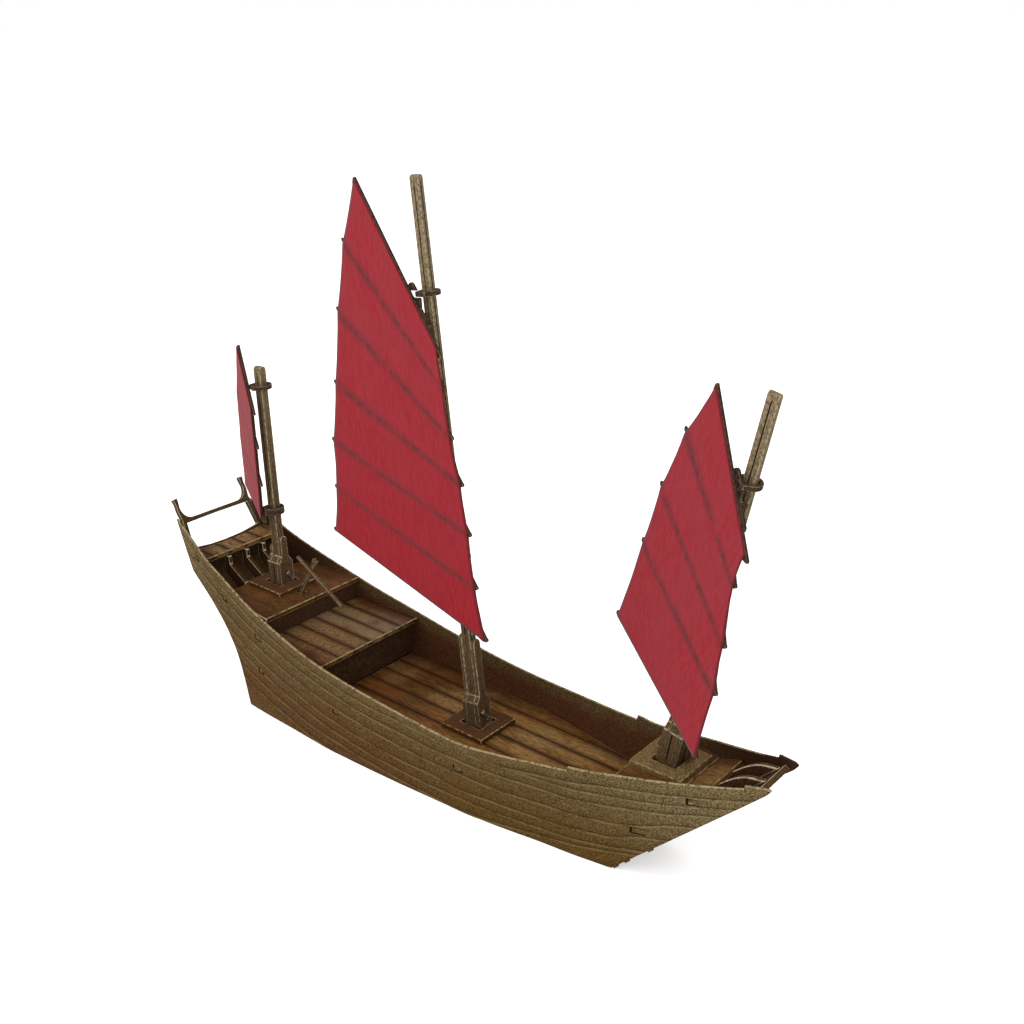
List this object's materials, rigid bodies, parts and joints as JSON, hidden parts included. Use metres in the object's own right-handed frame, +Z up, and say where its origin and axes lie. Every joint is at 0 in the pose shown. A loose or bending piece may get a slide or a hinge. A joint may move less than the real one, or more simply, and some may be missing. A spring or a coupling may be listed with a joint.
{
  "type": "wooden model of a three-masted Chinese junk",
  "caption": "Laser-cut wooden model of a three-masted Chinese junk: bent plank sides, stepped decks, raked masts with battened red sails that turn on rings, and a rudder with its tiller.",
  "frame": {"origin": "on the floor under the middle of the model's bounding box", "axes": "+X to the bow, +Y to port, +Z up"},
  "size_m": [0.2823, 0.058, 0.2228],
  "materials": {
    "hull": "painted, dry-brushed",
    "deck": "painted, dry-brushed",
    "frame": "painted, dry-brushed",
    "mast": "painted, dry-brushed",
    "spar": "painted, dry-brushed",
    "sail": "dyed and lacquered, stiff"
  },
  "bodies": {
    "hull": {"hull_bottom": "hull", "hull_side_port": "hull", "hull_side_starboard": "hull", "bow_board": "hull", "stern_counter": "hull", "stern_frame": "frame", "poop_seat": "deck", "aft_deck": "deck", "aft_bulkhead": "deck", "second_deck": "deck", "second_bulkhead": "deck", "main_deck": "deck", "fore_bulkhead": "deck", "fore_deck": "deck", "bow_deck": "deck", "bow_knee_port": "deck", "bow_knee_starboard": "deck", "stern_rib_port": "deck", "stern_rib_middle": "deck", "stern_rib_starboard": "deck", "mast_plate_main": "mast", "mast_main": "mast", "mast_main_cheek_fore": "mast", "mast_main_cheek_aft": "mast", "mast_plate_fore": "mast", "mast_fore": "mast", "mast_fore_cheek_fore": "mast", "mast_fore_cheek_aft": "mast", "mast_plate_mizzen": "mast", "mast_mizzen": "mast", "mast_mizzen_cheek_fore": "mast", "mast_mizzen_cheek_aft": "mast", "mast_main_peg": "mast", "mast_mizzen_peg": "mast", "mast_fore_lug_fore": "mast", "mast_fore_lug_aft": "mast"},
    "sail_main": {"sail_main_sheet": "sail", "sail_main_spars": "spar", "sail_main_ring_upper": "spar", "sail_main_ring_lower": "spar", "sail_main_doubler": "spar", "sail_main_doubler_tip": "spar"},
    "sail_fore": {"sail_fore_sheet": "sail", "sail_fore_spars": "spar", "sail_fore_ring_upper": "spar", "sail_fore_ring_lower": "spar", "sail_fore_doubler": "spar", "sail_fore_doubler_tip": "spar"},
    "sail_mizzen": {"sail_mizzen_sheet": "sail", "sail_mizzen_spars": "spar", "sail_mizzen_ring_upper": "spar", "sail_mizzen_ring_lower": "spar"},
    "rudder": {"rudder_stock": "mast", "rudder_blade": "hull", "tiller": "mast"}
  },
  "joints": [
    {"name": "main_sail_swing", "type": "hinge", "parent": "hull", "child": "sail_main", "pos_m": [0.01465, 0, 0.024], "axis": [-0.1227, 0, 0.9924], "range_deg": [-64, 76]},
    {"name": "fore_sail_swing", "type": "hinge", "parent": "hull", "child": "sail_fore", "pos_m": [0.09945, 0, 0.0434], "axis": [0.2014, 0, 0.9795], "range_deg": [-46, 94]},
    {"name": "mizzen_sail_swing", "type": "hinge", "parent": "hull", "child": "sail_mizzen", "pos_m": [-0.09465, 0, 0.0496], "axis": [-0.0417, 0, 0.9991], "range_deg": [-43, 97]},
    {"name": "rudder_turn", "type": "hinge", "parent": "hull", "child": "rudder", "pos_m": [-0.08245, 0, 0.0476], "axis": [0.5045, 0, 0.8634], "range_deg": [-28, 28]}
  ]
}
